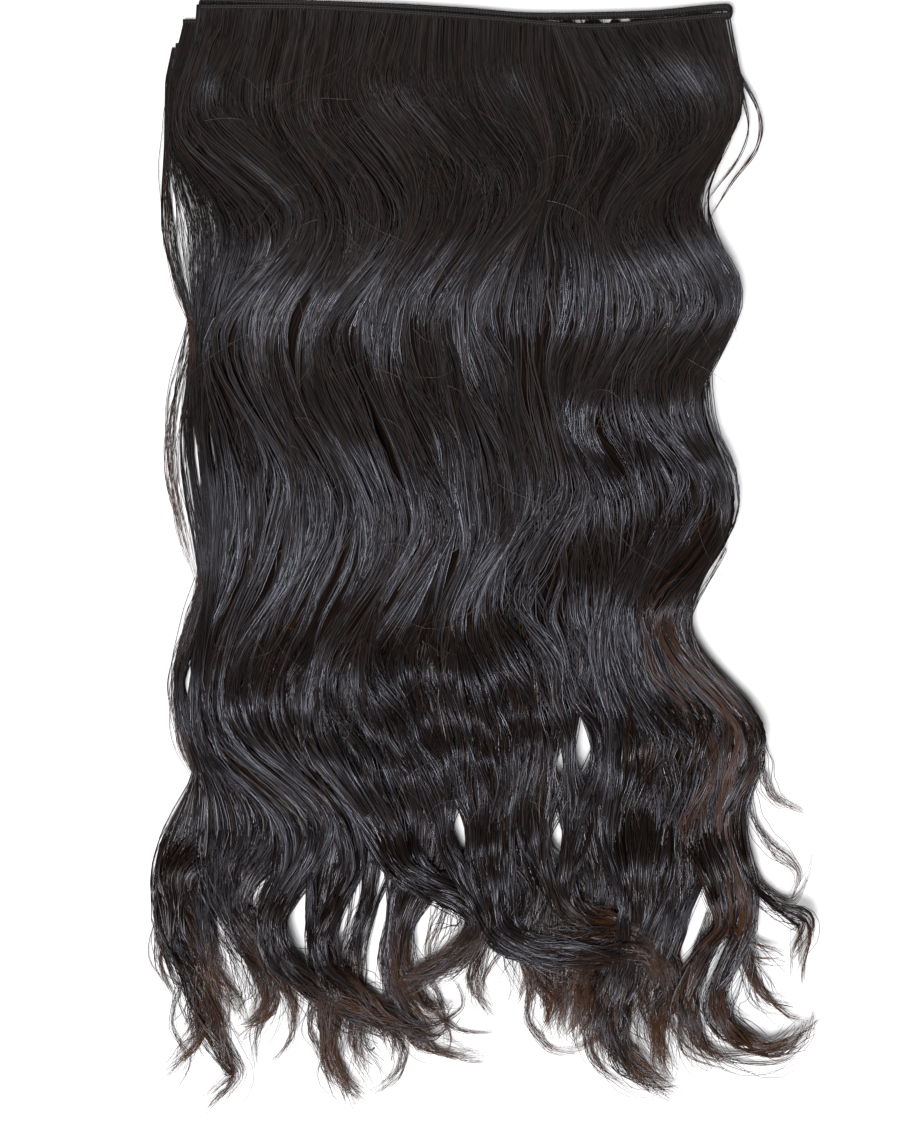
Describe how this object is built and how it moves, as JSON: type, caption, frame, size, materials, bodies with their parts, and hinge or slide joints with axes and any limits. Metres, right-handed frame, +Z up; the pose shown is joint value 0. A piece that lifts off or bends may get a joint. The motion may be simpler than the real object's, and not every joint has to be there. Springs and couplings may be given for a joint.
{
  "type": "hair weft",
  "caption": "Wavy dark hair weft lying flat: folded sewn tracks carry layers of hair in waved locks with loose curled ends.",
  "frame": {"origin": "on the resting surface, under the bottom run of the lower track, above the middle of the hair's width", "axes": "+X along the tracks to the folds, +Y from the tips to the roots, +Z up from the resting surface"},
  "size_m": [0.2956, 0.5, 0.0221],
  "materials": {
    "hair": "glossy wavy hair fibre",
    "track": "sewn hair and thread"
  },
  "bodies": {
    "root": {"upper_track": "track", "lower_track": "track", "front_hair": "hair", "second_hair": "hair", "third_hair": "hair", "bottom_hair": "hair"}
  },
  "joints": []
}
